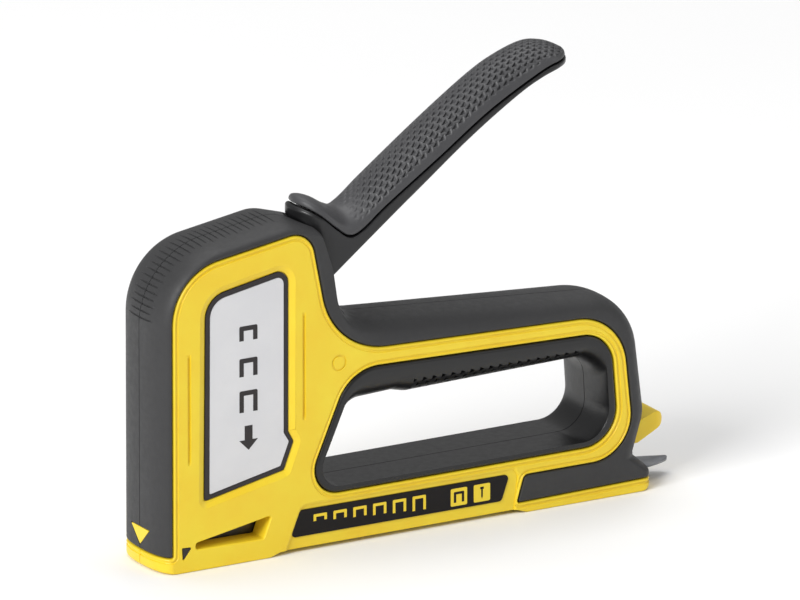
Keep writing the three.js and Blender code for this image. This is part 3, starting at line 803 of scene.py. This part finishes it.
def staple_mark(x, z, width, leg, thick):
    """A staple seen from the front, as an outline with its crown up."""
    r = thick * 0.35
    return [
        (x, z - leg, 0), (x + thick, z - leg, 0), (x + thick, z - thick, 0),
        (x + width - thick, z - thick, 0), (x + width - thick, z - leg, 0),
        (x + width, z - leg, 0), (x + width, z, r), (x, z, r),
    ]


def arrow_mark(x, z, width, length):
    """An arrow that points down, as an outline from its tip."""
    half, stem = width / 2, width * 0.21
    return [
        (x - half, z + half, 0), (x, z, 0), (x + half, z + half, 0), (x + stem, z + half, 0),
        (x + stem, z + length, 0), (x - stem, z + length, 0), (x - stem, z + half, 0),
    ]


def nail_mark(x, z):
    """A nail with its point down, as an outline from the top of its head."""
    left = [(-0.7, 0), (-0.7, -0.8), (-0.3, -0.8), (-0.3, -3.4), (0, -4.2)]
    right = [(-across, up) for across, up in left[-2::-1]]
    return [(x + across, z + up, 0) for across, up in left + right]


def tile(x, z, width, height, radius):
    return [
        (x, z, radius), (x + width, z, radius), (x + width, z + height, radius),
        (x, z + height, radius),
    ]


def printed(outlines, low, high, side):
    """Flat marks on one side, as thin plates."""
    return joined([plate(marks, *sorted((side * low, side * high))) for marks in outlines])


def build_label(side, word):
    """The black rim, the silver plate and the three staples and an arrow printed on it."""
    rim = plate(rounded(LABEL_FRAME), *sorted((side * LABEL_BED, side * 14.3)))
    cut(rim, plate(offset(rounded(LABEL_PLATE), 0.12), -20, 20))
    piece(bevelled(rim, 0.12, 2), f"label_rim_{word}", "body", TRIM,
          [f"{word}_label_frame"])
    sheet = side_plate(rounded(LABEL_PLATE), LABEL_BED, 14.24, side)
    piece(sheet, f"label_sheet_{word}", "body", LABEL, [f"{word}_label_plate"])
    marks = [staple_mark(30.6, 83 - 11.4 * i, 7, 5.2 + 1.2 * i, 1.7) for i in range(3)]
    marks.append(arrow_mark(34.1, 39.2, 7.2, 8.6))
    print_on = printed(marks, 14.2, 14.28, side)
    piece(print_on, f"label_marks_{word}", "body", TRIM)


def build_strip(side, word):
    """The black strip with its row of staple sizes, and two tiles with icons."""
    strip = side_plate(rounded(NAME_STRIP), 14.1, 14.62, side)
    piece(strip, f"strip_{word}", "body", INK, [f"{word}_name_strip"])
    bars = [staple_mark(59 + 7.7 * i, 12.4, 5.2, 2.4 + 0.55 * i, 1.0) for i in range(6)]
    tiles = [tile(x, 6.4, 6.4, 6.2, 0.5) for x in (112.4, 121.4)]
    yellow = printed(bars + tiles, 14.55, 14.66, side)
    piece(yellow, f"strip_marks_{word}", "body", YELLOW)
    icons = [staple_mark(113.6, 11.4, 4, 3.8, 0.9), nail_mark(124.6, 11.6)]
    dark = printed(icons, 14.6, 14.7, side)
    piece(dark, f"strip_icons_{word}", "body", INK)


def build_trims():
    for side, word in ((-1, "left"), (1, "right")):
        build_label(side, word)
        build_strip(side, word)
        arrow = side_plate(rounded(SIDE_MARKER), 14.4, 14.93, side, 0.06)
        piece(arrow, f"side_arrow_{word}", "body", TRIM, [f"{word}_marker"])
    front = bevelled(bar(FRONT_MARKER, 0.12, 1.0), 0.1, 2)
    piece(front, "front_arrow", "body", YELLOW, ["front_marker"])


def build_screws():
    # Radius and depth of the turned outline, from the tip to the head's top.
    turned = [
        (0, -10.6), (1.2, -10.6), (1.45, -10.2), (1.45, 12.8), (3.0, 12.8), (3.1, 12.95),
        (3.1, 14.0), (2.8, 14.4), (2.1, 14.6), (0, 14.6),
    ]
    for i, (x, z) in enumerate(SCREWS):
        screw = loft([place_xz(circle(x, z, max(r, 0.05), 36), y) for r, y in turned])
        cross = fused(
            box(x - 1.9, x + 1.9, 13.5, 16, z - 0.4, z + 0.4),
            box(x - 0.4, x + 0.4, 13.5, 16, z - 1.9, z + 1.9),
        )
        cut(screw, cross)
        piece(screw, f"screw_{i + 1}", "body", STEEL, [f"body_screw_{i + 1}"])


# ---------------------------------------------------------------- lever
NECK_HALF = 8.5
LEVER_NECK = [
    (67.3, 92.2, 2), (66, 108.5, 0), (62.5, 108.2, 0), (60, 106.6, 0), (57, 105.2, 0),
    (45, 100, 4), (53, 91, 4),
]


def lever_half(x, inset=0.0):
    """Half width in plan: round nose, straight sides, round tip."""
    full, reach = LEVER_HALF - inset, TIP_REACH - inset
    nose = NOSE_CENTRE + NOSE_STEP * inset
    if x < nose:
        return math.sqrt(max(0.0, full**2 - (nose - x) ** 2))
    if x > TIP_CENTRE:
        return full * math.sqrt(max(0.0, 1 - ((x - TIP_CENTRE) / reach) ** 2))
    return full


def lever_stations(pitch, inset=0.0):
    """Places along the lever, closer together at its round ends."""
    full, reach = LEVER_HALF - inset, TIP_REACH - inset
    start = NOSE_CENTRE + NOSE_STEP * inset
    nose = start - full * np.cos(np.linspace(0.05, math.pi / 2, 40))
    tip = TIP_CENTRE + reach * np.sin(np.linspace(0, math.pi / 2 - 0.05, 40))
    middle = np.linspace(start, TIP_CENTRE, int((TIP_CENTRE - start) / pitch))
    return np.concatenate([nose, middle[1:-1], tip])


def pit(u, v):
    """Depth share of the grip's three-sided pits at a place along and across the lever."""
    row = np.round(v / PIT_ROW)
    shift = np.where(row % 2 == 0, 0.0, PIT_PITCH / 2)
    along = ((u + shift) % PIT_PITCH) / PIT_PITCH
    across = np.abs(v - row * PIT_ROW) / (PIT_ROW / 2)
    share = along / 0.84
    inside = np.clip((share * 0.98 - across) * 4, 0, 1) * np.clip((1 - share) * 9, 0, 1)
    return inside * np.clip(0.6 + 0.4 * share, 0, 1)


def edge_drop(distance, radius):
    """How far a surface falls at a distance from its rounded edge."""
    short = np.clip(radius - distance, 0, radius)
    return radius - np.sqrt(np.maximum(0, radius**2 - short**2))


def edge_distance(x, y, inset=0.0):
    """Distance in plan from the lever's outline."""
    nose = NOSE_CENTRE + NOSE_STEP * inset
    if x < nose:
        return np.maximum(0, LEVER_HALF - inset - np.hypot(x - nose, y))
    return np.maximum(0, lever_half(x, inset) - np.abs(y))


def pitted(x, y, z, rim):
    """A section of the pad's top with its pits sunk along the surface's normal."""
    lengths = np.concatenate([[0], np.cumsum(np.hypot(np.diff(y), np.diff(z)))])
    lengths -= lengths[-1] / 2
    edge_room = lengths[-1] - np.abs(lengths)
    fade = np.clip((edge_room - 1.6) / 0.4, 0, 1) * np.clip((rim - 0.6) / 0.5, 0, 1)
    depth = PIT_DEPTH * pit(x * PIT_SLOPE, lengths) * fade * np.clip((x - 77) / 9, 0, 1)
    slope = np.gradient(z, y)
    steep = np.sqrt(1 + slope**2)
    return y + depth * slope / steep, z - depth / steep


def grip_ring(x, across, base, edge, top):
    """One section of the pad, from its flat base over its rolled edges and domed top."""
    half = lever_half(x, GRIP_INSET)
    y = across * half
    rim = edge_distance(x, y, GRIP_INSET)
    z = edge + (top - edge) * np.power(np.clip(1 - across**2, 0, 1), 0.8)
    z = z - edge_drop(rim, min(1.2, (edge - base) * 0.8))
    y, z = pitted(x, y, z, rim)
    soft = min(0.45, half * 0.4)
    side = base + min(soft, (z[0] - base) * 0.6)
    floor = [(x, half, side), (x, half - soft, base), (x, -half + soft, base), (x, -half, side)]
    return np.vstack([np.column_stack([np.full(len(y), x), y, z]), floor])


def lever_grip():
    seam, lip, crown = (height_curve(c) for c in (LEVER_SEAM, LEVER_LIP, LEVER_CROWN))
    bend = np.cos(np.linspace(0, math.pi / 2, 14))[:-1] * 0.14 + 0.86
    across = np.concatenate([-bend, np.linspace(-0.86, 0.86, 96), bend[::-1]])
    return loft([
        grip_ring(x, across, seam(x) + GRIP_GROOVE, lip(x), crown(x))
        for x in lever_stations(0.27, GRIP_INSET)
    ])


def core_ring(x, share, top, bottom):
    """One section of the lever's frame, rounded more at its underside."""
    y = share * lever_half(x)
    rim = edge_distance(x, y)
    nose = np.clip((66 - x) / 5, 0, 1)
    room = top - bottom
    high = top - edge_drop(rim, min(0.5 + 1.3 * nose, room * 0.3))
    low = bottom + edge_drop(rim, min(2.4, room * 0.45))
    along = np.full(len(y), x)
    return np.vstack([np.column_stack([along, y, high]), np.column_stack([along, y, low])[::-1]])


def lever_core():
    seam, under, throat = (height_curve(c) for c in (LEVER_SEAM, LEVER_UNDER, LEVER_THROAT))
    middle = np.linspace(0.035, 0.965, 30)
    share = np.concatenate([[0, 0.004, 0.015], middle, [0.985, 0.996, 1]]) * 2 - 1
    rings = []
    for x in lever_stations(1.0):
        bottom = throat(x) if x < LEVER_UNDER[0][0] else under(x)
        rings.append(core_ring(x, share, seam(x), bottom))
    upper = loft(rings)
    for side in (-1, 1):
        cut(upper, box(40, 63.3, *sorted((side * NECK_HALF, side * 13)), 80, 106.3))
    neck = plate(LEVER_NECK, -NECK_HALF, NECK_HALF)
    hub = pin(PIVOT_X, PIVOT_Z, HUB, -NECK_HALF, NECK_HALF, 64)
    return cut(fused(upper, neck, hub), pin(PIVOT_X, PIVOT_Z, PIN + GAP, -20, 20))


def build_lever():
    piece(lever_core(), "lever_frame", "lever", LEVER, ["lever_core"])
    piece(lever_grip(), "lever_pad", "lever", PAD_PAINTED_LIGHT, ["lever_grip"], 50)


# ---------------------------------------------------------------- rear end
BLADE_BEND, BLADE_HALF = 192, 6.2         # where the staple lifter starts to taper


def build_latch():
    tab = plate(LATCH_SIDE, -8, 8)
    plan = [(170, -8.2, 0), (201.2, -8.0, 4.6), (201.2, 8.0, 4.6), (170, 8.2, 0)]
    common(tab, column(plan, 0, 40))
    bevelled(tab, 1.5, 5, 40)
    cut(tab, box(170, 185, -2.7, 2.7, 10, 30), pin(181.4, 17.2, 1.5, -9, 9))
    piece(tab, "latch_tab", "latch", YELLOW, ["magazine_latch"])


def blade_half(x):
    """Half width of the staple lifter: straight, then a tapering tongue."""
    if x < BLADE_BEND:
        return BLADE_HALF
    share = (x - BLADE_BEND) / 13.6
    return BLADE_HALF * math.sqrt(max(0.0, 1 - share**2.1)) * (1 - 0.28 * share) + 0.02


def build_lifter():
    straight = np.linspace(176.6, BLADE_BEND, 12)
    tongue = BLADE_BEND + 13.55 * np.sin(np.linspace(0.1, 1.5, 22))
    rings = []
    for x in np.concatenate([straight, tongue]):
        half = blade_half(x)
        crown = 0.5 * min(1.0, half / 3)
        ring = [(x, y * half, 5.7 - crown * abs(y) ** 2) for y in np.linspace(-1, 1, 13)]
        ring += [(x, y * half * 0.94, 4.2 + 0.25 * abs(y) ** 3) for y in np.linspace(1, -1, 9)]
        rings.append(np.array(ring))
    piece(loft(rings), "lifter_blade", "body", SPRING, ["staple_lifter"], 50)


# ---------------------------------------------------------------- mechanism
TURN_SECTIONS = 28


def spring(start, direction, radius, wire, length, turns, name, body, node):
    """A compression spring whose last turns close up."""
    start, axis, u = Vector(start), Vector(direction), Vector((0, 1, 0))
    v = axis.cross(u)

    def centre(t):
        rise, spin = t - 0.035 * math.sin(2 * math.pi * t), 2 * math.pi * turns * t
        return start + axis * (length * rise) + radius * (u * math.cos(spin) + v * math.sin(spin))

    rings = []
    count = turns * TURN_SECTIONS
    for i in range(count + 1):
        t = i / count
        spot = centre(t)
        ahead = (centre(t + 1e-3) - centre(t - 1e-3)).normalized()
        out = (spot - start - axis * (spot - start).dot(axis)).normalized()
        other = ahead.cross(out)
        turn = np.arange(10) * math.pi / 5
        ring = [spot + wire * (out * math.cos(a) + other * math.sin(a)) for a in turn]
        rings.append(np.array(ring))
    return piece(loft(rings), name, body, SPRING, [node], 60)


def build_springs():
    drive = spring(
        (24.2, 0, 57.4), (0, 0, 1), 5.3, 1.0, 41.6, 8, "drive_coil", "body", "drive_spring",
    )
    feed = spring(
        (27.25, 0, 8.5), (1, 0, 0), 2.3, 0.45, 149.5, 34,
        "pusher_coil", "pusher_unit", "pusher_spring",
    )
    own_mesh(drive)
    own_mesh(feed)


def dress_cad_nodes():
    """Materials and small edge bevels on the CAD parts that are kept."""
    steel_nodes = [
        "nose_plate", "driver_blade", "plunger", "left_lift_arm", "right_lift_arm", "spring_cap",
        "lever_pivot_pin", "staple_rail", "staple_pusher", "pusher_rod", "latch_pin",
    ]
    looks = {name: STEEL for name in steel_nodes}
    # The bumper shares the liner's darker black (painted shade), and the magazine channel takes the
    # darker steel (painted shade).
    looks |= {"bumper": LINER, "rear_cap": TRIM, "magazine_channel": STEEL_PAINTED_SHADE}
    for name, look in looks.items():
        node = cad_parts[name]
        for slot in node.material_slots:
            slot.link = "OBJECT"
            slot.material = look
        edge = node.modifiers.new("edges", "BEVEL")
        edge.width = 0.15 * MM
        edge.segments = 2
        edge.limit_method = "ANGLE"
        edge.angle_limit = math.radians(40)


# ---------------------------------------------------------------- floor, light and camera
SKY_STRENGTH = 0.33
LAMP_AIM = Vector((0, 0, 0.06))
LAMPS = (                                 # name, place, size, watts
    ("key", (-3.2, -1.2, 2.16), 1.8, 130),
    ("fill", (1.6, -1.3, 0.9), 1.2, 6),
    ("top", (0.0, 0.7, 3.5), 2.4, 52),
    ("rim", (1.5, 2.2, 2.4), 1.2, 4),
)
# The photo's view: a long lens, from the front left and a little above.
CAMERA_AZIMUTH, CAMERA_ELEVATION = math.radians(-30), math.radians(17.5)
CAMERA_DISTANCE, CAMERA_LENS = 8.0, 1064
CAMERA_AIM = Vector((0.00977, 0.01994, 0.07026))


def build_floor():
    made, tree, shader, coords = node_material("floor")
    pale = [(0.3, (0.93, 0.93, 0.93)), (0.7, (0.95, 0.95, 0.95))]
    tree.links.new(ramp(tree, noise(tree, coords, 3, 2), pale), shader.inputs["Base Color"])
    shader.inputs["Roughness"].default_value = 0.9
    shader.inputs["Specular IOR Level"].default_value = 0.1
    reach = 8
    corners = [(-reach, -reach, 0), (reach, -reach, 0), (reach, reach, 0), (-reach, reach, 0)]
    floor = mesh_object("floor", corners, [(0, 1, 2, 3)])
    floor.location.z = -0.0002
    floor.data.materials.append(made)


def build_lights():
    world = bpy.data.worlds.new("studio")
    world.use_nodes = True
    sky = world.node_tree.nodes["Background"]
    sky.inputs["Color"].default_value = (1, 1, 1, 1)
    sky.inputs["Strength"].default_value = SKY_STRENGTH
    bpy.context.scene.world = world
    for name, place, size, power in LAMPS:
        light = bpy.data.lights.new(name, "AREA")
        light.size = size
        light.energy = power
        lamp = bpy.data.objects.new(name, light)
        lamp.location = place
        lamp.rotation_mode = "QUATERNION"
        lamp.rotation_quaternion = (LAMP_AIM - Vector(place)).to_track_quat("-Z", "Y")
        lamp.visible_camera = False
        bpy.context.scene.collection.objects.link(lamp)


def build_camera():
    level = math.cos(CAMERA_ELEVATION)
    back = Vector((
        math.sin(CAMERA_AZIMUTH) * level, -math.cos(CAMERA_AZIMUTH) * level,
        math.sin(CAMERA_ELEVATION),
    ))
    camera = bpy.data.objects.new("camera", bpy.data.cameras.new("camera"))
    camera.data.sensor_width = 36
    camera.data.lens = CAMERA_LENS
    camera.data.clip_start, camera.data.clip_end = 0.5, 40
    camera.location = CAMERA_AIM + back * CAMERA_DISTANCE
    camera.rotation_mode = "QUATERNION"
    camera.rotation_quaternion = (-back).to_track_quat("-Z", "Y")
    bpy.context.scene.collection.objects.link(camera)
    bpy.context.scene.camera = camera


build_body()
build_trims()
build_screws()
build_lever()
build_latch()
build_lifter()
build_springs()
dress_cad_nodes()
build_floor()
build_lights()
build_camera()
bpy.context.scene.view_settings.view_transform = "Standard"
